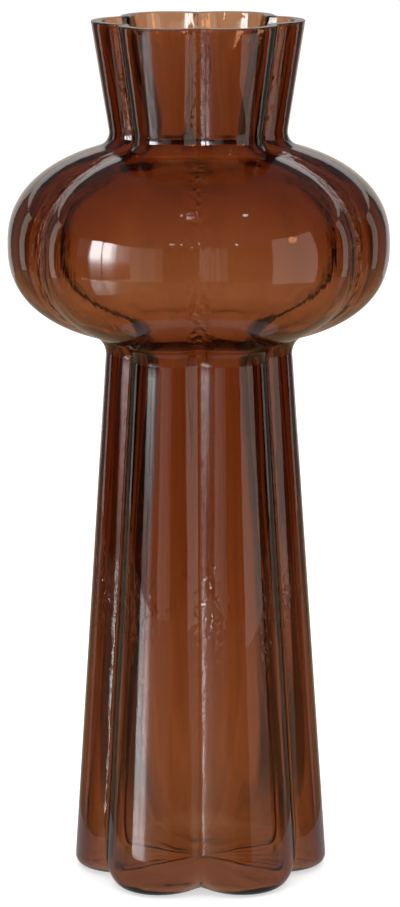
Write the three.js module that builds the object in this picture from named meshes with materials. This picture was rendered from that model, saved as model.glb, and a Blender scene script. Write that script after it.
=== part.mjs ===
// Lobed glass vase: a flared neck on a round bulb, on a tall stem that widens to a rounded foot.
// The vase is one body of glass, held here as five solids that meet face to face on level rings.
// Millimetres, +Z up. The origin is the middle of the face that the vase stands on.
// The lobes run the full height, with one crest towards +X.
import * as THREE from "three";

// Heights, stacked from the table up
const STEM_HEIGHT = 218.7; // table to the lowest point of the bulb's curve
const BULB_LOWER_HEIGHT = 41.8; // from there to the bulb's widest ring
const BULB_UPPER_HEIGHT = 43.9; // from the widest ring to the top of the bulb's curve
const NECK_HEIGHT = 45.6; // from there to the rim

// Radii at the crests of the lobes
const FOOT_RADIUS = 52.3;
const STEM_TOP_RADIUS = 37.6;
const BULB_RADIUS = 77;
const NECK_FOOT_RADIUS = 35.6;
const RIM_RADIUS = 42.8;

// Fullness of the bulb's curve: 2 is an ellipse, and more has squarer shoulders
const BULB_LOWER_FULLNESS = 2.45;
const BULB_UPPER_FULLNESS = 2.3;

// Lobes
const LOBE_COUNT = 6;
const GROOVE_DEPTH = 6.3; // crest to groove on the stem and the neck, measured towards the axis
const BULB_GROOVE_DEPTH = 5; // the same at the bulb's widest ring
const GROOVE_RADIUS = 1.8; // hollow fillet along the bottom of a groove

// Rounded corners
const LOWER_WAIST_RADIUS = 7.8;
const UPPER_WAIST_RADIUS = 5.9;
const FOOT_ROUNDING = 4.4; // under a crest
const GROOVE_FOOT_ROUNDING = 14; // under a groove, where the foot is drawn in
const INNER_FOOT_ROUNDING = 1.2; // inside, between the wall and the floor, at a crest
const INNER_GROOVE_ROUNDING = 9; // the same at a groove
const RIM_ROUNDING = 0.5; // both corners of the flat rim

// Glass
const FOOT_WALL = 3.8;
const WAIST_WALL = 5; // at the narrow ends of the stem and the neck
const BULB_LOWER_WALL = 3;
const BULB_LOWER_STATION = 0.25; // where that is, as a share of the lower half's height
const BULB_UPPER_WALL = 4.6;
const BULB_UPPER_STATION = 0.5; // the same for the upper half
const RIM_WALL = 4.4;
const FLOOR_HEIGHT = 2.6; // table to the inside floor, at its edge
const FLOOR_RISE = 0.5; // the floor is higher by this in the middle
const BASE_MARGIN = 1; // straight wall between the base's roundings and the stem
const UNDERSIDE_RADIUS = 28; // hollow pushed up under the base, inside the resting ring
const UNDERSIDE_DEPTH = 0.5;
const GLASS_COLOUR = 0x8a4a22;
const GLASS_ROUGHNESS = 0.05;
const GLASS_OPACITY = 0.6;

// Facets
const FACETS_PER_LOBE = 12;
const BULB_STEPS = 6; // in each half of the bulb
const WAIST_STEPS = 3;
const STRAIGHT_STEPS = 2;
const FOOT_STEPS = 4;
const RIM_STEPS = 4;
const BOTTOM_STEPS = 3; // in the hollow underside, and in the floor
const FILLET_SEARCH_STEPS = 50;

const { lerp } = THREE.MathUtils;
const HALF_LOBE = Math.PI / LOBE_COUNT;
const FULL_TURN = 2 * Math.PI;
const QUARTER_TURN = FULL_TURN / 4;
const SEGMENTS = LOBE_COUNT * FACETS_PER_LOBE;

const BULB_MIDDLE = STEM_HEIGHT + BULB_LOWER_HEIGHT;
const BULB_TOP = BULB_MIDDLE + BULB_UPPER_HEIGHT;
const RIM_HEIGHT = BULB_TOP + NECK_HEIGHT;
const BASE_HEIGHT = Math.max(GROOVE_FOOT_ROUNDING, FLOOR_HEIGHT + INNER_GROOVE_ROUNDING) + BASE_MARGIN;

// The straight sides of the stem and the neck, as the crest radius at a height
const STEM_SLOPE = (STEM_TOP_RADIUS - FOOT_RADIUS) / STEM_HEIGHT;
const NECK_SLOPE = (RIM_RADIUS - NECK_FOOT_RADIUS) / NECK_HEIGHT;
const stemRadius = (z) => FOOT_RADIUS + STEM_SLOPE * z;
const neckRadius = (z) => NECK_FOOT_RADIUS + NECK_SLOPE * (z - BULB_TOP);

// Values of a curve at even steps from one end of a range to the other
function along(curve, from, to, steps) {
  return Array.from({ length: steps + 1 }, (_, step) => curve(lerp(from, to, step / steps)));
}

// Distance from the axis to the lobed outline, at an angle off the nearest crest.
// Each lobe is an arc, each groove is a hollow arc, and the two run smoothly into each other.
// The inset moves the whole outline inwards by an even distance.
function outlineRadius(crest, inset, depth, angle) {
  const hollowCentre = crest - depth + GROOVE_RADIUS;
  const reach = crest + GROOVE_RADIUS;
  const spread = reach - hollowCentre * Math.cos(HALF_LOBE);
  const lobeCentre = (reach ** 2 - hollowCentre ** 2) / (2 * spread);
  const lobeRadius = crest - lobeCentre - inset;
  const hollowRadius = GROOVE_RADIUS + inset;

  const share = lobeRadius / (lobeRadius + hollowRadius);
  const meetingX = lerp(lobeCentre, hollowCentre * Math.cos(HALF_LOBE), share);
  const meetingY = lerp(0, hollowCentre * Math.sin(HALF_LOBE), share);
  if (angle <= Math.atan2(meetingY, meetingX)) {
    const offset = lobeCentre * Math.sin(angle);
    return lobeCentre * Math.cos(angle) + Math.sqrt(lobeRadius ** 2 - offset ** 2);
  }
  const offGroove = HALF_LOBE - angle;
  const offset = hollowCentre * Math.sin(offGroove);
  return hollowCentre * Math.cos(offGroove) - Math.sqrt(hollowRadius ** 2 - offset ** 2);
}

// A point of the bulb's curve and its outward direction.
// Turn 0 is the widest ring, and side is 1 above that ring and -1 below it.
function bulbPlace(turn, side) {
  const height = side > 0 ? BULB_UPPER_HEIGHT : BULB_LOWER_HEIGHT;
  const fullness = side > 0 ? BULB_UPPER_FULLNESS : BULB_LOWER_FULLNESS;
  const across = Math.cos(turn) ** (2 / fullness);
  const up = Math.sin(turn) ** (2 / fullness);
  const point = new THREE.Vector2(BULB_RADIUS * across, BULB_MIDDLE + side * height * up);
  const slant = side * up ** (fullness - 1);
  const outward = new THREE.Vector2(across ** (fullness - 1) / BULB_RADIUS, slant / height);
  return { point, outward: outward.normalize() };
}

// The fillet between the bulb and the straight side of the stem or the neck.
// Its centre lies one fillet radius from both, which halving the range of the bulb's turn finds.
function waistFillet(side, straightRadius, slope, radius) {
  let turn = 0;
  let far = QUARTER_TURN;
  for (let step = 0; step < FILLET_SEARCH_STEPS; step += 1) {
    const middle = (turn + far) / 2;
    const { point, outward } = bulbPlace(middle, side);
    const centre = point.addScaledVector(outward, radius);
    const clearance = (centre.x - straightRadius(centre.y)) / Math.hypot(1, slope);
    if (clearance > radius) {
      turn = middle;
    } else {
      far = middle;
    }
  }
  const { point, outward } = bulbPlace(turn, side);
  const centre = point.clone().addScaledVector(outward, radius);
  const straightAngle = Math.atan2(-slope, 1);
  const bulbAngle = Math.atan2(outward.y, outward.x);
  const arc = (share) => {
    const angle = lerp(straightAngle, bulbAngle, share);
    return new THREE.Vector2(centre.x - radius * Math.cos(angle), centre.y - radius * Math.sin(angle));
  };
  return { turn, arc };
}

const lowerWaist = waistFillet(-1, stemRadius, STEM_SLOPE, LOWER_WAIST_RADIUS);
const upperWaist = waistFillet(1, neckRadius, NECK_SLOPE, UPPER_WAIST_RADIUS);

// Outside of the glass at a crest, from bottom to top, as one list of points for each solid
const stemPlace = (z) => new THREE.Vector2(stemRadius(z), z);
const neckPlace = (z) => new THREE.Vector2(neckRadius(z), z);
const lowerBulb = (turn) => bulbPlace(turn, -1).point;
const upperBulb = (turn) => bulbPlace(turn, 1).point;

const STEM_END = lowerWaist.arc(0).y;
const NECK_START = upperWaist.arc(0).y;
const RIM_START = RIM_HEIGHT - RIM_ROUNDING;

const stemOutside = along(stemPlace, BASE_HEIGHT, STEM_END, STRAIGHT_STEPS);
const lowerBulbOutside = [
  ...along(lowerWaist.arc, 0, 1, WAIST_STEPS),
  ...along(lowerBulb, lowerWaist.turn, 0, BULB_STEPS).slice(1),
];
const upperBulbOutside = [
  ...along(upperBulb, 0, upperWaist.turn, BULB_STEPS),
  ...along(upperWaist.arc, 1, 0, WAIST_STEPS).slice(1),
];
const neckOutside = along(neckPlace, NECK_START, RIM_START, STRAIGHT_STEPS);

// Thickness of the glass at heights up the vase, with an even change between them
const WALLS = [
  { height: 0, wall: FOOT_WALL },
  { height: STEM_END, wall: WAIST_WALL },
  { height: lerp(STEM_HEIGHT, BULB_MIDDLE, BULB_LOWER_STATION), wall: BULB_LOWER_WALL },
  { height: lerp(BULB_MIDDLE, BULB_TOP, BULB_UPPER_STATION), wall: BULB_UPPER_WALL },
  { height: NECK_START, wall: WAIST_WALL },
  { height: RIM_START, wall: RIM_WALL },
];
function wallAt(z) {
  const above = WALLS.findIndex(({ height }, index) => index > 0 && z <= height);
  const [low, high] = WALLS.slice(above - 1, above + 1);
  return lerp(low.wall, high.wall, (z - low.height) / (high.height - low.height));
}

// How far a point of the outside is blown out into the bulb: 0 on the straight sides and 1 at the widest ring
function bulge(point) {
  if (point.y < STEM_HEIGHT || point.y > BULB_TOP) return 0;
  return Math.max(0, (point.x - STEM_TOP_RADIUS) / (BULB_RADIUS - STEM_TOP_RADIUS));
}

// A ring round the vase, as a function of how near an angle is to a groove: 0 on a crest and 1 in a groove.
// It gives the distance from the axis and the height there.
function ring(crest, inset, height, bulged = 0) {
  const depth = lerp(GROOVE_DEPTH, BULB_GROOVE_DEPTH, bulged);
  return (groove) => ({ distance: outlineRadius(crest, inset, depth, groove * HALF_LOBE), height });
}
const roundRing = (distance, height) => () => ({ distance, height });
const outsideRings = (points) => points.map((point) => ring(point.x, 0, point.y, bulge(point)));

// Inside of the wall: each outside point moved in, square to the glass, with both end rings kept level
function insideRings(points) {
  return points.map((point, index) => {
    const wall = wallAt(point.y);
    const before = points[index - 1];
    const after = points[index + 1];
    if (!before || !after) return ring(point.x, wall, point.y, bulge(point));
    const rise = after.clone().sub(before).normalize();
    return ring(point.x + wall * (1 - rise.y), wall, point.y + wall * rise.x, bulge(point));
  });
}

// A tube of glass: up the outside, over the top, down the inside and back to the first ring
function tubeRings(points, topRings = []) {
  const outside = outsideRings(points);
  const inside = insideRings(points).reverse();
  return [...outside, ...topRings, ...inside, outside[0]];
}

// The rim, flat on top with both corners rounded, from the outside over to the inside, without its two ends
function rimRings() {
  const corner = (turn) => ({
    inset: RIM_ROUNDING * (1 - Math.cos(turn)),
    height: RIM_START + RIM_ROUNDING * Math.sin(turn),
  });
  const outer = along(corner, 0, QUARTER_TURN, RIM_STEPS).slice(1);
  const inner = outer.map(({ inset, height }) => ({ inset: RIM_WALL - inset, height })).reverse();
  return [...outer, ...inner].map(({ inset, height }) => ring(RIM_RADIUS, inset, height));
}

// A rounded edge between the wall and the bottom, rounder under a groove than under a crest
const roundedEdge = (start, inset, crestRounding, grooveRounding) => (turn) => (groove) => {
  const rounding = lerp(crestRounding, grooveRounding, groove ** 2);
  const height = start + rounding * (1 - Math.cos(turn));
  return ring(stemRadius(height), inset + rounding * (1 - Math.sin(turn)), height)(groove);
};

// The base: from the middle of the underside out to the foot, up its rounded edge, over and down to the floor
function baseRings() {
  const underside = (share) => roundRing(UNDERSIDE_RADIUS * share, UNDERSIDE_DEPTH * (1 - share ** 2));
  const footEdge = roundedEdge(0, 0, FOOT_ROUNDING, GROOVE_FOOT_ROUNDING);
  const floorEdge = roundedEdge(FLOOR_HEIGHT, FOOT_WALL, INNER_FOOT_ROUNDING, INNER_GROOVE_ROUNDING);
  const floor = (share) => (groove) => {
    const { distance, height } = floorEdge(0)(groove);
    return { distance: distance * share, height: height + FLOOR_RISE * (1 - share ** 2) };
  };
  return [
    ...along(underside, 0, 1, BOTTOM_STEPS),
    ...along(footEdge, 0, QUARTER_TURN, FOOT_STEPS),
    ring(stemRadius(BASE_HEIGHT), 0, BASE_HEIGHT),
    ring(stemRadius(BASE_HEIGHT), wallAt(BASE_HEIGHT), BASE_HEIGHT),
    ...along(floorEdge, QUARTER_TURN, 0, FOOT_STEPS),
    ...along(floor, 1, 0, BOTTOM_STEPS).slice(1),
  ];
}

// Share of the way from the nearest crest to the next groove
function grooveShare(angle) {
  const offCrest = angle - 2 * HALF_LOBE * Math.round(angle / (2 * HALF_LOBE));
  return Math.abs(offCrest) / HALF_LOBE;
}

function amberGlass() {
  return new THREE.MeshStandardMaterial({
    color: GLASS_COLOUR,
    roughness: GLASS_ROUGHNESS,
    metalness: 0,
    transparent: true,
    opacity: GLASS_OPACITY,
  });
}

// One closed solid: the crests' profile is turned into a round blank,
// and its points are then pressed in to form the grooves.
function lobedGlass(name, rings) {
  const profile = rings.map((place) => new THREE.Vector2(place(0).distance, place(0).height));
  const geometry = new THREE.LatheGeometry(profile, SEGMENTS);
  const position = geometry.getAttribute("position");
  for (let vertex = 0; vertex < position.count; vertex += 1) {
    const segment = Math.floor(vertex / rings.length) % SEGMENTS;
    const angle = (segment / SEGMENTS) * FULL_TURN;
    const { distance, height } = rings[vertex % rings.length](grooveShare(angle));
    position.setXYZ(vertex, distance * Math.cos(angle), distance * Math.sin(angle), height);
  }
  geometry.computeVertexNormals();
  const mesh = new THREE.Mesh(geometry, amberGlass());
  mesh.name = name;
  return mesh;
}

const vase = new THREE.Group();
vase.add(
  lobedGlass("neck", tubeRings(neckOutside, rimRings())),
  lobedGlass("bulb_upper", tubeRings(upperBulbOutside)),
  lobedGlass("bulb_lower", tubeRings(lowerBulbOutside)),
  lobedGlass("stem", tubeRings(stemOutside)),
  lobedGlass("base", baseRings()),
);

export default vase;
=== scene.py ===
# %% [markdown]
# # A lobed vase of amber glass
# The real vase is one piece of glass, blown into a mould: a flared neck, a round bulb and a tall stem
# that widens to the foot, with six lobes that run from the rim to the table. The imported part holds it
# as five stacked solids with plain facets. Here it becomes one smooth body of glass again, in the same
# place and at the same size.

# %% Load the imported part
import math

import bpy
from mathutils import Matrix, Vector


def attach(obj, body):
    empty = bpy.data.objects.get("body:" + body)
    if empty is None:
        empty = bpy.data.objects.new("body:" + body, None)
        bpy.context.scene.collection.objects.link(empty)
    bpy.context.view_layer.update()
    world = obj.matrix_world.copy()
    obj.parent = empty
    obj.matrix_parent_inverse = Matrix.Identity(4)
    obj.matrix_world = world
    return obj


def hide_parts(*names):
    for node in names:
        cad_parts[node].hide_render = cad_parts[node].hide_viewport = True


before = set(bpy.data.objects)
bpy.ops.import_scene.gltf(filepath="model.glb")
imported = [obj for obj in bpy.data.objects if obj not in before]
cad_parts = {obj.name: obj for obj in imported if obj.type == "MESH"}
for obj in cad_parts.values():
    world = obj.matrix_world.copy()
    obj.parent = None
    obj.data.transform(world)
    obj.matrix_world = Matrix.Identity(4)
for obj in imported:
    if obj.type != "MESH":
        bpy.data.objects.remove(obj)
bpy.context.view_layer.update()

print("packed solids:", sorted(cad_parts))

# %% [markdown]
# ## Sizes
# Everything about the shape follows from these few sizes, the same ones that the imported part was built
# from. They are in metres, and radii are measured at the crest of a lobe.

# %% Driving sizes of the vase
STEM_HEIGHT = 0.2187
BULB_LOWER_HEIGHT = 0.0418
BULB_UPPER_HEIGHT = 0.0439
NECK_HEIGHT = 0.0456

FOOT_RADIUS = 0.0523
STEM_TOP_RADIUS = 0.0376
BULB_RADIUS = 0.077
NECK_FOOT_RADIUS = 0.0356
RIM_RADIUS = 0.0428

BULB_LOWER_FULLNESS = 2.45
BULB_UPPER_FULLNESS = 2.3

LOBE_COUNT = 6
GROOVE_DEPTH = 0.0063
BULB_GROOVE_DEPTH = 0.005
GROOVE_RADIUS = 0.0018

LOWER_WAIST_RADIUS = 0.0078
UPPER_WAIST_RADIUS = 0.0059
FOOT_ROUNDING = 0.0044
GROOVE_FOOT_ROUNDING = 0.014
INNER_FOOT_ROUNDING = 0.0012
INNER_GROOVE_ROUNDING = 0.009
RIM_ROUNDING = 0.0005

FOOT_WALL = 0.0038
WAIST_WALL = 0.005
BULB_LOWER_WALL = 0.003
BULB_LOWER_STATION = 0.25
BULB_UPPER_WALL = 0.0046
BULB_UPPER_STATION = 0.5
RIM_WALL = 0.0044
FLOOR_HEIGHT = 0.0026
FLOOR_RISE = 0.0005
UNDERSIDE_RADIUS = 0.028
UNDERSIDE_DEPTH = 0.0005

BULB_MIDDLE = STEM_HEIGHT + BULB_LOWER_HEIGHT
BULB_TOP = BULB_MIDDLE + BULB_UPPER_HEIGHT
RIM_HEIGHT = BULB_TOP + NECK_HEIGHT
QUARTER_TURN = math.pi / 2

# %% [markdown]
# ## The profile
# Cut the vase in half through two crests and the glass shows one long profile: from the middle of the
# underside out to the foot, up the outside, over the rim and down the inside to the middle of the floor.
# It could be drawn by hand as a Bezier curve. A formula is better here, because the straight sides, the
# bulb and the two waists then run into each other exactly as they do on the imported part.

# %% Straight sides and the bulb's curve
STEM_SLOPE = (STEM_TOP_RADIUS - FOOT_RADIUS) / STEM_HEIGHT
NECK_SLOPE = (RIM_RADIUS - NECK_FOOT_RADIUS) / NECK_HEIGHT


def lerp(start, end, share):
    return start + (end - start) * share


def stem_radius(height):
    return FOOT_RADIUS + STEM_SLOPE * height


def neck_radius(height):
    return NECK_FOOT_RADIUS + NECK_SLOPE * (height - BULB_TOP)


def bulb_place(turn, side):
    """A point of the bulb's curve and its outward direction, as (radius, height) vectors.
    Turn 0 is the widest ring. Side is 1 above that ring and -1 below it."""
    height = BULB_UPPER_HEIGHT if side > 0 else BULB_LOWER_HEIGHT
    fullness = BULB_UPPER_FULLNESS if side > 0 else BULB_LOWER_FULLNESS
    across = max(math.cos(turn), 0) ** (2 / fullness)
    up = max(math.sin(turn), 0) ** (2 / fullness)
    point = Vector((BULB_RADIUS * across, BULB_MIDDLE + side * height * up))
    outward = Vector((across ** (fullness - 1) / BULB_RADIUS, side * up ** (fullness - 1) / height))
    return point, outward.normalized()


print(f"each metre up, the stem narrows by {-STEM_SLOPE:.4f} m and the neck widens by {NECK_SLOPE:.4f} m")

# %% Waists, where the bulb runs into the stem and the neck
FILLET_SEARCH_STEPS = 50


def waist_fillet(side, straight_radius, slope, radius):
    """The hollow fillet between the bulb and a straight side. Its centre lies one fillet radius from both.
    Returns the bulb's turn where it starts, its centre, and its two end angles."""
    turn, far = 0, QUARTER_TURN
    for _ in range(FILLET_SEARCH_STEPS):
        middle = (turn + far) / 2
        point, outward = bulb_place(middle, side)
        centre = point + outward * radius
        clearance = (centre.x - straight_radius(centre.y)) / math.hypot(1, slope)
        turn, far = (middle, far) if clearance > radius else (turn, middle)
    point, outward = bulb_place(turn, side)
    return turn, point + outward * radius, math.atan2(-slope, 1), math.atan2(outward.y, outward.x)


def on_fillet(centre, radius, angle):
    """A point of a hollow fillet and its outward direction."""
    direction = Vector((math.cos(angle), math.sin(angle)))
    return centre - direction * radius, direction


lower_waist = waist_fillet(-1, stem_radius, STEM_SLOPE, LOWER_WAIST_RADIUS)
upper_waist = waist_fillet(1, neck_radius, NECK_SLOPE, UPPER_WAIST_RADIUS)
print(f"lower waist at {lower_waist[1].y:.4f} m, upper waist at {upper_waist[1].y:.4f} m")

# %% [markdown]
# ## The profile as rings
# Each point of the profile becomes a ring round the vase. A ring is stored as the crest radius of its
# outline, how far that outline is set in, and its height. Setting a lobed outline in by an even distance
# keeps the wall equally thick all round, which scaling it would not.

# %% Outside of the glass, from the foot's edge to the rim
STEM_STEPS = 60
BULB_STEPS = 36
WAIST_STEPS = 9
NECK_STEPS = 20
RIM_START = RIM_HEIGHT - RIM_ROUNDING
BASE_HEIGHT = max(GROOVE_FOOT_ROUNDING, FLOOR_HEIGHT + INNER_GROOVE_ROUNDING)


def along(curve, start, end, steps):
    return [curve(lerp(start, end, step / steps)) for step in range(steps + 1)]


def straight_side(radius_at, slope):
    outward = Vector((1, -slope)).normalized()
    return lambda height: (Vector((radius_at(height), height)), outward)


def waist_curve(waist, radius):
    _, centre, straight_angle, bulb_angle = waist
    return lambda share: on_fillet(centre, radius, lerp(straight_angle, bulb_angle, share))


lower_curve = waist_curve(lower_waist, LOWER_WAIST_RADIUS)
upper_curve = waist_curve(upper_waist, UPPER_WAIST_RADIUS)
STEM_END = lower_curve(0)[0].y
NECK_START = upper_curve(0)[0].y
outside = [
    *along(straight_side(stem_radius, STEM_SLOPE), BASE_HEIGHT, STEM_END, STEM_STEPS),
    *along(lower_curve, 0, 1, WAIST_STEPS)[1:],
    *along(lambda turn: bulb_place(turn, -1), lower_waist[0], 0, BULB_STEPS)[1:],
    *along(lambda turn: bulb_place(turn, 1), 0, upper_waist[0], BULB_STEPS)[1:],
    *along(upper_curve, 1, 0, WAIST_STEPS)[1:],
    *along(straight_side(neck_radius, NECK_SLOPE), NECK_START, RIM_START, NECK_STEPS)[1:],
]
print(len(outside), "rings up the outside")

# %% Thickness of the glass
BULB_LOW = lerp(STEM_HEIGHT, BULB_MIDDLE, BULB_LOWER_STATION)
BULB_HIGH = lerp(BULB_MIDDLE, BULB_TOP, BULB_UPPER_STATION)
WALLS = [
    (0, FOOT_WALL),
    (STEM_END, WAIST_WALL),
    (BULB_LOW, BULB_LOWER_WALL),
    (BULB_HIGH, BULB_UPPER_WALL),
    (NECK_START, WAIST_WALL),
    (RIM_START, RIM_WALL),
]


def wall_at(height):
    """Thickness at a height. It eases from one station to the next, so that no crease shows in the glass."""
    for (low, low_wall), (high, high_wall) in zip(WALLS, WALLS[1:]):
        if height <= high:
            share = (height - low) / (high - low)
            return lerp(low_wall, high_wall, share * share * (3 - 2 * share))
    return RIM_WALL


def bulge(point):
    """How far a point of the outside is blown out into the bulb: 0 on the sides, 1 at the widest ring."""
    if not STEM_HEIGHT < point.y < BULB_TOP:
        return 0
    return max(0, (point.x - STEM_TOP_RADIUS) / (BULB_RADIUS - STEM_TOP_RADIUS))


print(f"wall at the bulb's widest ring: {wall_at(BULB_MIDDLE) * 1000:.1f} mm")

# %% The kinds of ring
RIM_CALM = 0.006


def ring(crest, inset, height, groove_change=(0, 0, 0), bulged=0, lobed=1, shrink=1, outer=1):
    """One ring. groove_change is added to crest, inset and height in a groove, bulged makes the grooves
    shallower, lobed is 0 for a round ring, shrink pulls the ring in, and outer is 0 on the inside."""
    return {
        "at_crest": (crest, inset, height),
        "groove_change": groove_change,
        "bulged": bulged,
        "lobed": lobed,
        "shrink": shrink,
        "outer": outer,
    }


def underside(share):
    """The shallow hollow under the base, inside the ring that the vase stands on."""
    height = UNDERSIDE_DEPTH * (1 - share ** 2)
    return ring(UNDERSIDE_RADIUS, 0, height, lobed=0, shrink=share)


def rounded_edge(turn, start, inset, crest_rounding, groove_rounding, outer):
    """A rounded edge between the wall and the bottom, rounder under a groove than under a crest."""
    more = groove_rounding - crest_rounding
    height = start + crest_rounding * (1 - math.cos(turn))
    inset += crest_rounding * (1 - math.sin(turn))
    rise = more * (1 - math.cos(turn))
    draw_in = more * (1 - math.sin(turn))
    return ring(stem_radius(height), inset, height, (STEM_SLOPE * rise, draw_in, rise), outer=outer)


def foot_edge(turn):
    return rounded_edge(turn, 0, 0, FOOT_ROUNDING, GROOVE_FOOT_ROUNDING, outer=1)


def rim(turn):
    """The rim, flat on top, with both corners rounded."""
    across = math.copysign(RIM_WALL / 2 - RIM_ROUNDING, math.cos(turn)) + RIM_ROUNDING * math.cos(turn)
    return ring(RIM_RADIUS, RIM_WALL / 2 - across, RIM_START + RIM_ROUNDING * math.sin(turn))


def inside_of(point, outward):
    """The ring on the inside of the wall, square to the glass from a point of the outside.
    Close to the rim it counts as outside more and more, so that its waves run out there."""
    wall = wall_at(point.y)
    crest = point.x + wall * (1 - outward.x)
    height = point.y - wall * outward.y
    near_rim = max(0, 1 - (RIM_START - height) / RIM_CALM)
    return ring(crest, wall, height, bulged=bulge(point), outer=near_rim)


def floor_edge(turn):
    return rounded_edge(turn, FLOOR_HEIGHT, FOOT_WALL, INNER_FOOT_ROUNDING, INNER_GROOVE_ROUNDING, outer=0)


def floor(share):
    """The floor, which rises a little to the middle like the hollow under it."""
    edge = floor_edge(0)
    crest, inset, height = edge["at_crest"]
    edge["at_crest"] = (crest, inset, height + FLOOR_RISE * (1 - share ** 2))
    edge["shrink"] = share
    return edge


print("kinds of ring: underside, foot edge, outside, rim, inside, floor edge, floor")

# %% Every ring, from the middle of the underside to the middle of the floor
FOOT_STEPS = 12
RIM_STEPS = 11
FLOOR_STEPS = 8
# Square to the flared neck, the topmost inside ring would rise past the rim's corner, so it is left out.
inside = [inside_of(point, outward) for point, outward in reversed(outside[1:])]
below_rim = [ring_inside for ring_inside in inside if ring_inside["at_crest"][2] < RIM_START]
rings = [
    *along(underside, 0, 1, FLOOR_STEPS),
    *along(foot_edge, 0, QUARTER_TURN, FOOT_STEPS),
    *[ring(point.x, 0, point.y, bulged=bulge(point)) for point, _ in outside[1:]],
    *along(rim, 0, 2 * QUARTER_TURN, RIM_STEPS)[1:],
    *below_rim,
    *along(floor_edge, QUARTER_TURN, 0, FOOT_STEPS),
    *along(floor, 1, 0, FLOOR_STEPS)[1:],
]
print(len(rings), "rings in all")

# %% The profile as a line of points that carry their ring's values
RING_TYPES = {
    "at_crest": ("FLOAT_VECTOR", "vector"),
    "groove_change": ("FLOAT_VECTOR", "vector"),
    "bulged": ("FLOAT", "value"),
    "lobed": ("FLOAT", "value"),
    "shrink": ("FLOAT", "value"),
    "outer": ("FLOAT", "value"),
}
profile_mesh = bpy.data.meshes.new("vase_profile")
profile_mesh.from_pydata(
    [(index, 0, 0) for index in range(len(rings))],
    [(index, index + 1) for index in range(len(rings) - 1)],
    [],
)
for name, (kind, field) in RING_TYPES.items():
    attribute = profile_mesh.attributes.new(name, kind, "POINT")
    for element, values in zip(attribute.data, rings):
        setattr(element, field, values[name])
profile = bpy.data.objects.new("vase_profile", profile_mesh)
bpy.context.scene.collection.objects.link(profile)
print("profile points:", len(profile_mesh.vertices))

# %% [markdown]
# ## Turning the profile into glass
# The vase could be lathed with a Screw modifier and then carved, but its outline is not round. It follows
# a rule instead: each lobe is an arc, each groove is a hollow arc, and the two run smoothly into each
# other. Geometry Nodes suit such a rule. The tree sweeps the profile round a circle, then puts every
# point where the rule says. Sums on fields are easier to read as sums, so a small class places the Math
# nodes whenever Python adds or multiplies two fields.

# %% Sums that place Math nodes
def plug(tree, slot, value):
    """Feeds a node's input from a field or a socket, or sets it to a plain value."""
    if isinstance(value, Field):
        value = value.socket
    if isinstance(value, bpy.types.NodeSocket):
        tree.links.new(value, slot)
    else:
        slot.default_value = value


def place_node(tree, kind, settings=None, **inputs):
    """Adds a node, sets its options, and feeds its inputs by name."""
    node = tree.nodes.new(kind)
    for name, value in (settings or {}).items():
        setattr(node, name, value)
    for name, value in inputs.items():
        plug(tree, node.inputs[name.replace("_", " ")], value)
    return node


def math_node(tree, operation, *values):
    node = place_node(tree, "ShaderNodeMath", {"operation": operation})
    for slot, value in zip(node.inputs, values):
        plug(tree, slot, value)
    return Field(tree, node.outputs["Value"])


class Field:
    """A number in a node tree. Python's operators on it place the Math nodes."""

    def __init__(self, tree, socket):
        self.tree = tree
        self.socket = socket

    def math(self, operation, *others):
        return math_node(self.tree, operation, self, *others)

    def __add__(self, other):
        return self.math("ADD", other)

    def __sub__(self, other):
        return self.math("SUBTRACT", other)

    def __mul__(self, other):
        return self.math("MULTIPLY", other)

    def __truediv__(self, other):
        return self.math("DIVIDE", other)

    def __rtruediv__(self, other):
        return math_node(self.tree, "DIVIDE", other, self)

    def squared(self):
        return self.math("MULTIPLY", self)

    def towards(self, other, share):
        return self + (other - self) * share


print("helpers ready: plug, place_node, math_node, Field")

# %% The lobed outline as fields
GROOVE_CROWDING = 0.85


def groove_places(turn_share, lobes):
    """Spreads the points round the vase, closer together towards the grooves, where the glass bends most.
    Returns the angle round the axis, and how near each point is to a groove, from 0 to 1."""
    place = turn_share * lobes
    nearest_crest = place.math("ROUND")
    off_crest = place - nearest_crest
    even_share = off_crest.math("ABSOLUTE") * 2
    groove = even_share + (even_share * math.pi).math("SINE") * (GROOVE_CROWDING / math.pi)
    angle = (nearest_crest + off_crest.math("SIGN") * groove * 0.5) * (2 * math.pi) / lobes
    return angle, groove


def lobed_distance(crest, inset, groove, lobes, depth, hollow):
    """Distance from the axis to the lobed outline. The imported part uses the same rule."""
    half_lobe = math.pi / lobes
    off_crest = half_lobe * groove
    off_groove = half_lobe - off_crest

    hollow_centre = crest - depth + hollow
    reach = crest + hollow
    groove_x = hollow_centre * half_lobe.math("COSINE")
    groove_y = hollow_centre * half_lobe.math("SINE")
    lobe_centre = (reach.squared() - hollow_centre.squared()) / ((reach - groove_x) * 2)
    lobe_radius = crest - lobe_centre - inset
    hollow_radius = inset + hollow

    share = lobe_radius / (lobe_radius + hollow_radius)
    meeting = (groove_y * share).math("ARCTAN2", lobe_centre.towards(groove_x, share))
    lobe_side = (lobe_radius.squared() - (lobe_centre * off_crest.math("SINE")).squared()).math("SQRT")
    on_lobe = lobe_centre * off_crest.math("COSINE") + lobe_side
    hollow_side = (hollow_radius.squared() - (hollow_centre * off_groove.math("SINE")).squared()).math("SQRT")
    in_hollow = hollow_centre * off_groove.math("COSINE") - hollow_side
    return on_lobe.towards(in_hollow, off_crest.math("GREATER_THAN", meeting))


print("outline rule ready:", LOBE_COUNT, "lobes")

# %% [markdown]
# Blown glass is never quite even. The mould shapes the outside, but nothing touches the inside, which
# sets in long soft waves that run up the wall and bend what is seen through it. They could be a bump in
# the material, but real waves in the mesh bend the light that passes, so the tree moves the points.

# %% The waves of blown glass
WAVES_PER_METRE = 110
WAVE_DETAIL = 1.5
WAVE_STRETCH = (1, 1, 0.05)
BULB_CALM = 0.85


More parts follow.
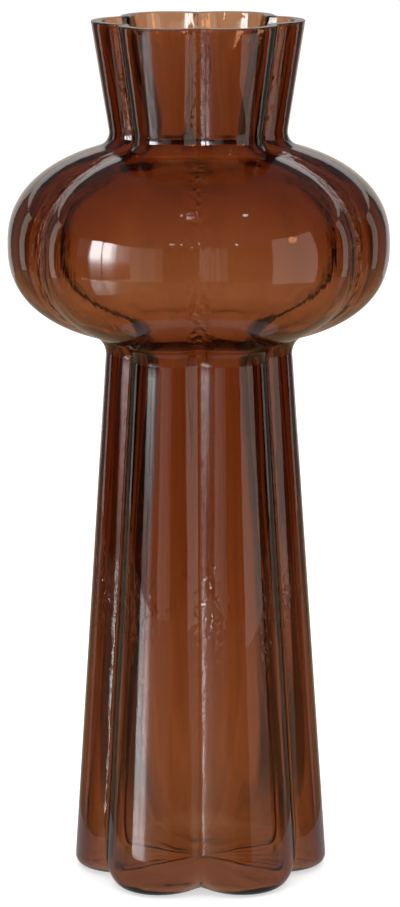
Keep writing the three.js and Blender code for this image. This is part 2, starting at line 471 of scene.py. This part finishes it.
def drawn_out(tree, place, stretch):
    """A place on the glass, scaled so that a pattern on it is drawn out along the small directions."""
    scaled = place_node(tree, "ShaderNodeVectorMath", {"operation": "MULTIPLY"})
    plug(tree, scaled.inputs[0], place)
    plug(tree, scaled.inputs[1], stretch)
    return scaled.outputs["Vector"]


def glass_waves(tree, outer, bulged, outer_wave, inner_wave, seed):
    """How far each point moves along its normal. The waves are stronger on the inside and calmer where the
    bulb was blown out. The outside only moves inwards, so the vase keeps its size."""
    position = place_node(tree, "GeometryNodeInputPosition").outputs["Position"]
    noise = place_node(
        tree, "ShaderNodeTexNoise", {"noise_dimensions": "4D"},
        Vector=drawn_out(tree, position, WAVE_STRETCH), W=seed, Scale=WAVES_PER_METRE, Detail=WAVE_DETAIL,
    )
    height = Field(tree, noise.outputs["Fac"])
    calm = bulged * -BULB_CALM + 1
    inner_move = (height - 0.5) * 2 * inner_wave * calm
    outer_move = height * -1 * outer_wave
    return inner_move.towards(outer_move, outer)


print("waves ready")

# %% Reading the profile's values in the tree
TREE_INPUTS = [
    ("Profile", "NodeSocketGeometry", None),
    ("Points Round", "NodeSocketInt", 252),
    ("Lobes", "NodeSocketFloat", LOBE_COUNT),
    ("Groove Depth", "NodeSocketFloat", GROOVE_DEPTH),
    ("Bulb Groove Depth", "NodeSocketFloat", BULB_GROOVE_DEPTH),
    ("Groove Radius", "NodeSocketFloat", GROOVE_RADIUS),
    ("Outer Wave", "NodeSocketFloat", 0.0001),
    ("Inner Wave", "NodeSocketFloat", 0.0006),
    ("Wave Seed", "NodeSocketFloat", 4.0),
    ("Glass", "NodeSocketMaterial", None),
]


def stored(tree, name, kind="FLOAT"):
    node = place_node(tree, "GeometryNodeInputNamedAttribute", {"data_type": kind}, Name=name)
    return Field(tree, node.outputs["Attribute"])


def split(tree, vector):
    node = place_node(tree, "ShaderNodeSeparateXYZ", Vector=vector)
    return [Field(tree, socket) for socket in node.outputs]


def lobed_places(tree, number):
    """Where each point of the swept profile belongs."""
    angle, groove = groove_places(stored(tree, "turn"), number["Lobes"])
    at_crest = split(tree, stored(tree, "at_crest", "FLOAT_VECTOR"))
    change = split(tree, stored(tree, "groove_change", "FLOAT_VECTOR"))
    crest, inset, height = [start + more * groove.squared() for start, more in zip(at_crest, change)]
    depth = number["Groove Depth"].towards(number["Bulb Groove Depth"], stored(tree, "bulged"))
    outline = lobed_distance(crest, inset, groove, number["Lobes"], depth, number["Groove Radius"])
    distance = crest.towards(outline, stored(tree, "lobed")) * stored(tree, "shrink")
    place = place_node(
        tree, "ShaderNodeCombineXYZ",
        X=distance * angle.math("COSINE"), Y=distance * angle.math("SINE"), Z=height,
    )
    return place.outputs["Vector"]


print("tree inputs:", [name for name, _, _ in TREE_INPUTS])

# %% The Geometry Nodes tree
MERGE_DISTANCE = 0.00001


def swept_profile(tree, profile_line, points_round):
    """The profile carried round a circle. Each point keeps its share of the turn."""
    path = place_node(tree, "GeometryNodeCurvePrimitiveCircle", Resolution=points_round)
    turn = tree.nodes.new("GeometryNodeSplineParameter").outputs["Factor"]
    marked = place_node(
        tree, "GeometryNodeStoreNamedAttribute", {"data_type": "FLOAT", "domain": "POINT"},
        Geometry=path.outputs["Curve"], Name="turn", Value=turn,
    )
    line = place_node(tree, "GeometryNodeMeshToCurve", Mesh=profile_line)
    sweep = place_node(
        tree, "GeometryNodeCurveToMesh", Curve=marked.outputs["Geometry"], Profile_Curve=line.outputs["Curve"]
    )
    outward = place_node(tree, "GeometryNodeFlipFaces", Mesh=sweep.outputs["Mesh"])
    return outward.outputs["Mesh"]


def lobed_glass_tree():
    tree = bpy.data.node_groups.new("Lobed blown glass", "GeometryNodeTree")
    for name, kind, default in TREE_INPUTS:
        socket = tree.interface.new_socket(name, in_out="INPUT", socket_type=kind)
        if default is not None:
            socket.default_value = default
    tree.interface.new_socket("Vase", in_out="OUTPUT", socket_type="NodeSocketGeometry")
    given = tree.nodes.new("NodeGroupInput").outputs
    number = {name: Field(tree, given[name]) for name, kind, _ in TREE_INPUTS if kind == "NodeSocketFloat"}

    sweep = swept_profile(tree, given["Profile"], given["Points Round"])
    shaped = place_node(tree, "GeometryNodeSetPosition", Geometry=sweep, Position=lobed_places(tree, number))
    closed = place_node(
        tree, "GeometryNodeMergeByDistance", Geometry=shaped.outputs["Geometry"], Distance=MERGE_DISTANCE
    )
    waves = glass_waves(
        tree, stored(tree, "outer"), stored(tree, "bulged"),
        number["Outer Wave"], number["Inner Wave"], number["Wave Seed"],
    )
    push = place_node(tree, "ShaderNodeVectorMath", {"operation": "SCALE"}, Scale=waves)
    plug(tree, push.inputs[0], place_node(tree, "GeometryNodeInputNormal").outputs["Normal"])
    waved = place_node(
        tree, "GeometryNodeSetPosition", Geometry=closed.outputs["Geometry"], Offset=push.outputs["Vector"]
    )
    smooth = place_node(tree, "GeometryNodeSetShadeSmooth", Geometry=waved.outputs["Geometry"])
    solid = place_node(tree, "GeometryNodeRealizeInstances", Geometry=smooth.outputs["Geometry"])
    glass = place_node(
        tree, "GeometryNodeSetMaterial", Geometry=solid.outputs["Geometry"], Material=given["Glass"]
    )
    result = tree.nodes.new("NodeGroupOutput")
    tree.links.new(glass.outputs["Geometry"], result.inputs["Vase"])
    return tree


vase_tree = lobed_glass_tree()
print("tree nodes:", len(vase_tree.nodes))

# %% [markdown]
# ## The marks of the mould
# The surface of the real glass is polished but not perfect. Fine lines run up the walls, where the hot
# glass slid along the mould. Half-way up the stem, a belt of small pits shows where it cooled too soon,
# and the grooves have mottled seams. All three could be modelled, but they are a fraction of a
# millimetre deep, so noise in the Bump node is enough. The noise reads Object coordinates, so it stays
# on the glass.

# %% Lines, pits and mottled seams
LINES_PER_METRE = 420
LINE_STRETCH = (1, 1, 0.02)
LINE_HEIGHT = 0.00003
LINES_FROM = 0.02
LINES_FULL = 0.05
PITS_PER_METRE = 640
PIT_STRETCH = (1, 1, 0.5)
PIT_DEPTH = 0.00008
PIT_EDGE = (0.57, 0.67)
PIT_LEVEL = 0.118
PIT_SPREAD = 0.04
PIT_FADE = 0.25
PIT_PATCHES_PER_METRE = 75
PIT_PATCH_STRETCH = (1, 1, 0.15)
PIT_PATCH_EDGE = (0.41, 0.49)
MOTTLES_PER_METRE = 330
MOTTLE_STRETCH = (1, 1, 0.4)
SEAM_HEIGHT = 0.0008
SEAM_WIDTH = 0.09
SEAM_STEM_SHARE = 0.3


def noise_on(nodes, place, stretch, scale, detail):
    vector = drawn_out(nodes, place, stretch)
    noise = place_node(nodes, "ShaderNodeTexNoise", Vector=vector, Scale=scale, Detail=detail)
    return Field(nodes, noise.outputs["Fac"])


def ease(nodes, value, start, end, low=0, high=1):
    """Carries a value between start and end over to between low and high, and holds it beyond them."""
    node = place_node(
        nodes, "ShaderNodeMapRange", Value=value, From_Min=start, From_Max=end, To_Min=low, To_Max=high
    )
    return Field(nodes, node.outputs["Result"])


def draw_lines(nodes, place, height_up):
    """Fine lines up the walls. They fade out above the foot, where the glass turns level."""
    lines = noise_on(nodes, place, LINE_STRETCH, LINES_PER_METRE, detail=2)
    return lines * ease(nodes, height_up, LINES_FROM, LINES_FULL) * LINE_HEIGHT


def pitted_belt(nodes, place, height_up):
    """Small pits, in upright strips that thin out above and below the belt."""
    patches = noise_on(nodes, place, PIT_PATCH_STRETCH, PIT_PATCHES_PER_METRE, detail=1)
    off_belt = (height_up - PIT_LEVEL).math("ABSOLUTE") / PIT_SPREAD
    pitted = ease(nodes, patches - off_belt * PIT_FADE, *PIT_PATCH_EDGE)
    grains = noise_on(nodes, place, PIT_STRETCH, PITS_PER_METRE, detail=0)
    return ease(nodes, grains, *PIT_EDGE) * pitted * -PIT_DEPTH


def mottled_seams(nodes, place, height_up):
    """Mottled bands along the grooves, stronger on the bulb than on the stem."""
    turn = place_node(nodes, "ShaderNodeTexGradient", {"gradient_type": "RADIAL"}, Vector=place)
    lobe_share = (Field(nodes, turn.outputs["Fac"]) * LOBE_COUNT).math("FRACT")
    off_groove = (lobe_share - 0.5).math("ABSOLUTE")
    on_seam = ease(nodes, off_groove, SEAM_WIDTH, 0)
    on_bulb = ease(nodes, height_up, STEM_END, BULB_LOW, low=SEAM_STEM_SHARE)
    mottle = noise_on(nodes, place, MOTTLE_STRETCH, MOTTLES_PER_METRE, detail=2)
    return mottle * on_seam * on_bulb * SEAM_HEIGHT


print("marks ready: draw_lines, pitted_belt, mottled_seams")

# %% [markdown]
# ## Amber glass
# The glass is tinted all through, so its colour comes from how much glass the light crosses: thin walls
# are golden, two walls are brown, and grooves and edges, seen along the wall, are nearly black. A base
# colour would tint every surface alike. Volume Absorption does what the real glass does. Faint dull
# patches keep the gloss from looking computed, and the top of the rim is a little dull from grinding.

# %% The glass material
TINT_COLOUR = (0.75, 0.533, 0.325, 1)
TINT_DENSITY = 800
GLASS_IOR = 1.5
DULL_PATCHES_PER_METRE = 90
DULL_PATCH_STRETCH = (1, 1, 1)
DULL_FROM = 0.45
DULL_FULL = 0.75
DULLEST = 0.03
RIM_DULLNESS = 0.25


def amber_glass():
    material = bpy.data.materials.new("amber_glass")
    material.use_nodes = True
    nodes = material.node_tree
    shader = nodes.nodes["Principled BSDF"]
    shader.inputs["Base Color"].default_value = (1, 1, 1, 1)
    shader.inputs["IOR"].default_value = GLASS_IOR
    shader.inputs["Transmission Weight"].default_value = 1
    tint = place_node(nodes, "ShaderNodeVolumeAbsorption", Color=TINT_COLOUR, Density=TINT_DENSITY)
    nodes.links.new(tint.outputs["Volume"], nodes.nodes["Material Output"].inputs["Volume"])

    place = nodes.nodes.new("ShaderNodeTexCoord").outputs["Object"]
    height_up = split(nodes, place)[2]
    marks = [make(nodes, place, height_up) for make in (draw_lines, pitted_belt, mottled_seams)]
    bump = place_node(nodes, "ShaderNodeBump", Height=marks[0] + marks[1] + marks[2], Distance=1)
    nodes.links.new(bump.outputs["Normal"], shader.inputs["Normal"])
    patches = noise_on(nodes, place, DULL_PATCH_STRETCH, DULL_PATCHES_PER_METRE, detail=3)
    on_rim = height_up.math("GREATER_THAN", RIM_START)
    dullness = ease(nodes, patches, DULL_FROM, DULL_FULL, high=DULLEST) + on_rim * RIM_DULLNESS
    plug(nodes, shader.inputs["Roughness"], dullness)
    return material


glass_material = amber_glass()
print("made", glass_material.name, "with", len(glass_material.node_tree.nodes), "nodes")

# %% [markdown]
# The tree has done its work once the shape is there, and the exported model needs plain meshes. So the
# evaluated profile is copied into one mesh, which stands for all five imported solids.

# %% The vase as one plain mesh
modifier = profile.modifiers.new("lobed_glass", "NODES")
modifier.node_group = vase_tree
sockets = {item.name: item.identifier for item in vase_tree.interface.items_tree if item.in_out == "INPUT"}
for name, _, default in TREE_INPUTS:
    if default is not None:
        modifier[sockets[name]] = default
modifier[sockets["Glass"]] = glass_material
depsgraph = bpy.context.evaluated_depsgraph_get()
vase_mesh = bpy.data.meshes.new_from_object(profile.evaluated_get(depsgraph), depsgraph=depsgraph)
vase_mesh.name = "vase_glass"
profile.modifiers.remove(modifier)
bpy.data.objects.remove(profile)
for name in [*RING_TYPES, "turn"]:
    spare = vase_mesh.attributes.get(name)
    if spare:
        vase_mesh.attributes.remove(spare)
vase = bpy.data.objects.new("vase_glass", vase_mesh)
bpy.context.scene.collection.objects.link(vase)
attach(vase, "root")
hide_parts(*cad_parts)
print(len(vase_mesh.vertices), "points,", len(vase_mesh.polygons), "faces")

# %% [markdown]
# ## Floor and background
# The vase stands on a plain white table in front of white. Lit by lamps alone, a white floor renders
# light grey, so a little glow lifts it to white for the eye. The glow answers only to rays that show the
# background, so it throws no light on the glass, and the floor still takes the vase's soft shadow.

# %% Floor
FLOOR_SIZE = 14
FLOOR_GAP = 0.0002
FLOOR_GREY = (0.8, 0.8, 0.8, 1)
FLOOR_TOP_UP = 0.56


def seen_directly(nodes):
    """1 for rays that show the background: straight to the camera, mirrored, or through glass."""
    rays = nodes.nodes.new("ShaderNodeLightPath").outputs
    seen = math_node(nodes, "MAXIMUM", rays["Is Camera Ray"], rays["Is Glossy Ray"])
    return seen.math("MAXIMUM", rays["Is Transmission Ray"])


def floor_material():
    material = bpy.data.materials.new("pale_floor")
    material.use_nodes = True
    nodes = material.node_tree
    shader = nodes.nodes["Principled BSDF"]
    shader.inputs["Base Color"].default_value = FLOOR_GREY
    shader.inputs["Roughness"].default_value = 1
    shader.inputs["Specular IOR Level"].default_value = 0
    shader.inputs["Emission Color"].default_value = (1, 1, 1, 1)
    plug(nodes, shader.inputs["Emission Strength"], seen_directly(nodes) * FLOOR_TOP_UP)
    return material


def add_stage_mesh(name, points, faces, material):
    """A mesh that belongs to the studio and not to the vase."""
    mesh = bpy.data.meshes.new(name)
    mesh.from_pydata(points, [], faces)
    mesh.materials.append(material)
    thing = bpy.data.objects.new(name, mesh)
    bpy.context.scene.collection.objects.link(thing)
    return thing


half = FLOOR_SIZE / 2
floor_outline = [(-half, -half), (half, -half), (half, half), (-half, half)]
corners = [(x, y, -FLOOR_GAP) for x, y in floor_outline]
floor_object = add_stage_mesh("floor", corners, [(0, 1, 2, 3)], floor_material())
floor_object.visible_glossy = False
print("floor", FLOOR_SIZE, "m wide")

# %% World
WORLD_LIGHT = 0.6
world = bpy.data.worlds.new("studio")
world.use_nodes = True
bpy.context.scene.world = world
sky = world.node_tree
white = sky.nodes["Background"]
white.inputs["Color"].default_value = (1, 1, 1, 1)
white.inputs["Strength"].default_value = 1
soft = place_node(sky, "ShaderNodeBackground", Color=(1, 1, 1, 1), Strength=WORLD_LIGHT)
choice = place_node(sky, "ShaderNodeMixShader", Fac=seen_directly(sky))
sky.links.new(soft.outputs["Background"], choice.inputs[1])
sky.links.new(white.outputs["Background"], choice.inputs[2])
sky.links.new(choice.outputs["Shader"], sky.nodes["World Output"].inputs["Surface"])
print("world white to the eye, and", WORLD_LIGHT, "as light")

# %% [markdown]
# ## The studio in the gloss
# Polished glass shows what stands round it, so most of its look is made by its surroundings. A studio
# sets up cards and cloths for that: white ones draw long streaks on the lobes, and black ones keep the
# glass between them clear. The cards here are plain glowing meshes that only mirrored rays meet, so they
# never show in the picture and never light the floor. Each is placed by the direction it is seen in.

# %% Helpers for the cards
ARC_STEPS = 96


def only_seen_by(thing, mirrored=False, through_glass=False):
    """Shows an object in reflections or through the glass alone. It stays out of the picture itself."""
    thing.visible_camera = False
    thing.visible_diffuse = False
    thing.visible_glossy = mirrored
    thing.visible_transmission = through_glass
    thing.visible_shadow = False


def glow_material(name, strength, colour=(1, 1, 1)):
    material = bpy.data.materials.new(name)
    material.use_nodes = True
    nodes = material.node_tree
    nodes.nodes.remove(nodes.nodes["Principled BSDF"])
    glow = place_node(nodes, "ShaderNodeEmission", Color=(*colour, 1), Strength=strength)
    nodes.links.new(glow.outputs["Emission"], nodes.nodes["Material Output"].inputs["Surface"])
    return material


def round_the_vase(azimuth, radius, height):
    """A place in the studio. Azimuth 0 is the camera's side and 90 degrees is the right-hand side."""
    angle = math.radians(azimuth)
    return (radius * math.sin(angle), -radius * math.cos(angle), height)


def arc_of_points(first, last, radius, height):
    return along(lambda azimuth: round_the_vase(azimuth, radius, height), first, last, ARC_STEPS)


def band(name, first_edge, second_edge, material):
    """A strip of faces between two arcs of points."""
    other = len(first_edge)
    faces = [(step, step + 1, other + step + 1, other + step) for step in range(ARC_STEPS)]
    return add_stage_mesh(name, first_edge + second_edge, faces, material)


def curved_wall(name, first, last, radius, low, high, material):
    """A wall that stands round the vase from one azimuth to another."""
    bottom = arc_of_points(first, last, radius, low)
    return band(name, bottom, arc_of_points(first, last, radius, high), material)


def flat_disc(name, first, last, radius, height, material):
    """A level disc, or the part of it between two azimuths."""
    points = arc_of_points(first, last, radius, height)
    return add_stage_mesh(name, points, [tuple(range(len(points)))], material)


print("helpers ready: only_seen_by, glow_material, curved_wall, flat_disc")

# %% Cards all round, and a ceiling
STUDIO_RADIUS = 2.5
STUDIO_BOTTOM = -0.75
STUDIO_TOP = 1.0
CARD_COLOUR = (1, 0.9, 0.8)
# Name, first and last azimuth in degrees, and glow.
CARDS = [
    ("front", -3, 36, 0.03),
    ("right_black", 78, 116, 0.03),
    ("right_strip", 116, 125, 0.9),
    ("right_far", 125, 148, 0.15),
    ("back", 148, 212, 0.8),
    ("left_far", 212, 235, 0.15),
    ("left_strip", 235, 244, 1.2),
    ("left_black", 244, 279, 0.03),
    ("left_card", 279, 338, 1.1),
    ("left_card_middle", 338, 350, 0.85),
    ("left_card_end", 350, 357, 0.5),
]
CEILING_GLOW = 0.12
CEILING_EDGE = 125

for name, first, last, glow in CARDS:
    paint = glow_material(name, glow, CARD_COLOUR)
    card = curved_wall(name, first, last, STUDIO_RADIUS, STUDIO_BOTTOM, STUDIO_TOP, paint)
    only_seen_by(card, mirrored=True)
ceiling_paint = glow_material("ceiling", CEILING_GLOW)
ceiling = flat_disc("ceiling", -CEILING_EDGE, CEILING_EDGE, STUDIO_RADIUS, STUDIO_TOP, ceiling_paint)
only_seen_by(ceiling, mirrored=True)
print(len(CARDS), "cards and a ceiling")

# %% A near card on the right, and the table
PANEL_RADIUS = 0.8
PANEL_TOP = 0.62
PANEL_FROM = 36
PANEL_TO = 78
PANEL_GLOW = 1.5
PANEL_COLOUR = (1, 0.88, 0.78)
# In the gloss the white table is a painted shaded copy: a dim glow round the foot, dark brown beyond.
TABLE_RADIUS = 0.95
TABLE_INNER_RADIUS = 0.12
SHADED_TABLE_COLOUR = (0.35, 0.22, 0.12, 1)
TABLE_ROUGHNESS = 0.05
SHADED_NEAR_FLOOR_GLOW = 0.45
TABLE_LEVEL = -FLOOR_GAP / 2

panel_paint = glow_material("right_panel", PANEL_GLOW, PANEL_COLOUR)
panel = curved_wall("right_panel", PANEL_FROM, PANEL_TO, PANEL_RADIUS, 0, PANEL_TOP, panel_paint)
table_paint = bpy.data.materials.new("shaded_table_top")
table_paint.use_nodes = True
table_shader = table_paint.node_tree.nodes["Principled BSDF"]
table_shader.inputs["Base Color"].default_value = SHADED_TABLE_COLOUR
table_shader.inputs["Roughness"].default_value = TABLE_ROUGHNESS
table_edges = [arc_of_points(0, 360, radius, TABLE_LEVEL) for radius in (TABLE_INNER_RADIUS, TABLE_RADIUS)]
table = band("shaded_table_top", *table_edges, table_paint)
near_paint = glow_material("shaded_near_floor", SHADED_NEAR_FLOOR_GLOW)
shaded_near_floor = flat_disc("shaded_near_floor", 0, 360, TABLE_INNER_RADIUS, TABLE_LEVEL, near_paint)
for thing in (panel, table, shaded_near_floor):
    only_seen_by(thing, mirrored=True)
print("made", panel.name, table.name, shaded_near_floor.name)

# %% [markdown]
# A studio also has a few small lamps. On the polished bulb each one is only a bright dot, but without
# such dots a curved surface looks dull. They could be real lamps. Small glowing discs give the same
# glints and leave the rest of the light alone. The warm disc is no lamp: it paints the orange glow
# that the window's light makes through the glass, as a reflection.

# %% Small lamps that show as glints
LAMP_STEPS = 24
# Name, azimuth in degrees, distance, height, radius, glow and colour.
GLINTS = [
    ("ceiling_lamp", 22, 0.41, 0.99, 0.03, 8, (1, 1, 1)),
    ("far_lamp", 5, 1.82, 0.99, 0.06, 12, (1, 1, 1)),
    # Painted reflection: the orange disc is no lamp and stands for the window's glow through the glass.
    ("amber_glow_disc", 56, 0.74, 0.53, 0.05, 9, (1, 0.42, 0.16)),
]


def round_lamp(name, azimuth, away, height, radius, glow, colour):
    """A small glowing disc that faces the bulb."""
    turns = along(lambda turn: turn, 0, 4 * QUARTER_TURN, LAMP_STEPS)[:-1]
    points = [(radius * math.cos(turn), 0, radius * math.sin(turn)) for turn in turns]
    disc = add_stage_mesh(name, points, [tuple(range(LAMP_STEPS))], glow_material(name, glow, colour))
    disc.location = round_the_vase(azimuth, away, height)
    disc.rotation_euler = (disc.location - Vector((0, 0, BULB_MIDDLE))).to_track_quat("Y", "Z").to_euler()
    only_seen_by(disc, mirrored=True)


for glint in GLINTS:
    round_lamp(*glint)
print("glints:", [glint[0] for glint in GLINTS])

# %% [markdown]
# ## The tent behind the glass
# Clear glass also bends the view of what is behind it, and against pure white its edges would have no
# dark lines. Glass is photographed in a tent of white cloth with soft shades between its sides, which
# draw those lines. The tent here is a glowing cloth that meets only rays that have passed through the
# glass, and its shades are painted shade in that glow. They come from the azimuth round the vase and fade
# away near the foot, and a painted shadow of the foot dims the floor.

# %% Tent
TENT_RADIUS = 2.0
TENT_TOP = 1.5
TENT_SIDES = 8
TENT_SHADE = 0.8
TENT_FOLDS = 90
TENT_FOLD_SHADE = 0.5
TENT_WHITE_TO = 0.5
TENT_SHADE_FROM = 0.26
TENT_NEAR = 0.05
TENT_FAR = 0.17
FOOT_SHADOW = 0.3
FOOT_SHADOW_FROM = 0.03
FOOT_SHADOW_TO = 0.2


def smooth_ease(nodes, value, start, end, low=0, high=1):
    """As ease, but it starts and ends gently."""
    node = place_node(
        nodes, "ShaderNodeMapRange", {"interpolation_type": "SMOOTHSTEP"},
        Value=value, From_Min=start, From_Max=end, To_Min=low, To_Max=high,
    )
    return Field(nodes, node.outputs["Result"])


def tent_cloth():
    """White glow with painted shade: soft between each two sides, fine folds, and the foot's shadow."""
    material = glow_material("tent", 1)
    nodes = material.node_tree
    place = nodes.nodes.new("ShaderNodeTexCoord").outputs["Object"]
    round_turn = place_node(nodes, "ShaderNodeTexGradient", {"gradient_type": "RADIAL"}, Vector=place)
    turn = round_turn.outputs["Fac"]
    # 1 in the middle of a side, and 0 half-way to the next.
    near_a_side = ((Field(nodes, turn) * TENT_SIDES).math("FRACT") - 0.5).math("ABSOLUTE") * 2
    across, back, _ = split(nodes, place)
    away = (across.squared() + back.squared()).math("SQRT")
    # Painted shade between each two sides of the tent.
    shade = smooth_ease(nodes, near_a_side, TENT_WHITE_TO, TENT_SHADE_FROM, high=TENT_SHADE)
    level = shade * smooth_ease(nodes, away, TENT_NEAR, TENT_FAR) * -1 + 1
    # Painted shade of fine folds in the cloth.
    folds = place_node(
        nodes, "ShaderNodeTexNoise", {"noise_dimensions": "1D"}, W=turn, Scale=TENT_FOLDS, Detail=2
    )
    level = level * ((Field(nodes, folds.outputs["Fac"]) - 0.5) * TENT_FOLD_SHADE + 1)
    # Painted shadow of the foot, which darkens the tent's floor near the vase.
    level = level * smooth_ease(nodes, away, FOOT_SHADOW_FROM, FOOT_SHADOW_TO, low=1 - FOOT_SHADOW)
    plug(nodes, nodes.nodes["Emission"].inputs["Strength"], level)
    return material


cloth = tent_cloth()
tent_wall = curved_wall("tent_wall", 0, 360, TENT_RADIUS, TABLE_LEVEL, TENT_TOP, cloth)
tent_floor = flat_disc("tent_floor", 0, 360, TENT_RADIUS, TABLE_LEVEL, cloth)
for thing in (tent_wall, tent_floor):
    only_seen_by(thing, through_glass=True)
print("tent", 2 * TENT_RADIUS, "m across, with", TENT_SIDES, "sides")

# %% [markdown]
# ## Window
# The brightest thing in the gloss is a large window on the left. On the bulb it is a white patch, parted
# by its middle bar, and on the stem and the neck it is a long pale streak. A plain bright card would give
# hard edges, so two colour ramps make it fade out downwards and towards its right-hand side.

# %% Window
WINDOW_AZIMUTH = -57.7
WINDOW_DISTANCE = 1.9
WINDOW_LOW = -0.25
WINDOW_HIGH = 0.88
WINDOW_HALF_WIDTH = 0.968
WINDOW_GLOW = 20
WINDOW_UP = [(-0.2, 0.03), (-0.05, 0.09), (0.05, 0.22), (0.15, 0.5), (0.25, 0.88), (0.35, 1)]
WINDOW_ACROSS = [
    (-0.48, 0.02), (-0.36, 1), (-0.03, 1), (-0.02, 0.3), (0.02, 0.3), (0.03, 1),
    (0.2, 1), (0.48, 0.17), (0.75, 0.1), (0.968, 0.06),
]


def ramp(nodes, value, low, high, stops):
    """Turns a coordinate into a brightness, through the given (place, brightness) stops."""
    colours = place_node(nodes, "ShaderNodeValToRGB", Fac=ease(nodes, value, low, high))
    elements = colours.color_ramp.elements
    while len(elements) < len(stops):
        elements.new(0.5)
    for element, (place, level) in zip(elements, stops):
        element.position = (place - low) / (high - low)
        element.color = (level, level, level, 1)
    return colours.outputs["Color"]


def window_material():
    material = glow_material("window", WINDOW_GLOW)
    nodes = material.node_tree
    across, _, up = split(nodes, nodes.nodes.new("ShaderNodeTexCoord").outputs["Object"])
    both = place_node(nodes, "ShaderNodeVectorMath", {"operation": "MULTIPLY"})
    plug(nodes, both.inputs[0], ramp(nodes, up, WINDOW_LOW, WINDOW_HIGH, WINDOW_UP))
    plug(nodes, both.inputs[1], ramp(nodes, across, -WINDOW_HALF_WIDTH, WINDOW_HALF_WIDTH, WINDOW_ACROSS))
    nodes.links.new(both.outputs["Vector"], nodes.nodes["Emission"].inputs["Color"])
    return material


window_corners = [
    (-WINDOW_HALF_WIDTH, 0, WINDOW_LOW),
    (WINDOW_HALF_WIDTH, 0, WINDOW_LOW),
    (WINDOW_HALF_WIDTH, 0, WINDOW_HIGH),
    (-WINDOW_HALF_WIDTH, 0, WINDOW_HIGH),
]
window = add_stage_mesh("window", window_corners, [(0, 1, 2, 3)], window_material())
window.location = round_the_vase(WINDOW_AZIMUTH, WINDOW_DISTANCE, 0)
window.rotation_euler = (0, 0, math.radians(WINDOW_AZIMUTH))
only_seen_by(window, mirrored=True)
print("window", 2 * WINDOW_HALF_WIDTH, "m wide")

# %% [markdown]
# ## Lamp and camera
# One large lamp overhead lights the floor and draws the soft shadow round the foot. It is hidden from
# the gloss, where the cards already do its work. The camera is a long lens a little above the vase, which
# shows the far side of the mouth and hardly narrows the stem towards the foot.

# %% Soft lamp overhead
LAMP_HEIGHT = 2.0
LAMP_SIZE = 2.0
LAMP_POWER = 20
lamp_data = bpy.data.lights.new("soft_lamp", "AREA")
lamp_data.size = LAMP_SIZE
lamp_data.energy = LAMP_POWER
lamp = bpy.data.objects.new("soft_lamp", lamp_data)
bpy.context.scene.collection.objects.link(lamp)
lamp.location = (0, 0, LAMP_HEIGHT)
lamp.visible_glossy = False
lamp.visible_transmission = False
print("lamp of", LAMP_POWER, "W")

# %% Camera
CAMERA_PLACE = (0, -1.4734, 0.4872)
CAMERA_AIM = (0.00025, 0, 0.1738)
CAMERA_ROLL = -0.003
LENS = 146.8
camera_data = bpy.data.cameras.new("camera")
camera_data.lens = LENS
camera = bpy.data.objects.new("camera", camera_data)
bpy.context.scene.collection.objects.link(camera)
camera.location = CAMERA_PLACE
aim = (Vector(CAMERA_AIM) - Vector(CAMERA_PLACE)).to_track_quat("-Z", "Y")
camera.rotation_euler = (aim.to_matrix() @ Matrix.Rotation(CAMERA_ROLL, 3, "Z")).to_euler()
bpy.context.scene.camera = camera
bpy.context.scene.view_settings.view_transform = "Standard"
print("camera", round((Vector(CAMERA_AIM) - Vector(CAMERA_PLACE)).length, 3), "m from the vase")
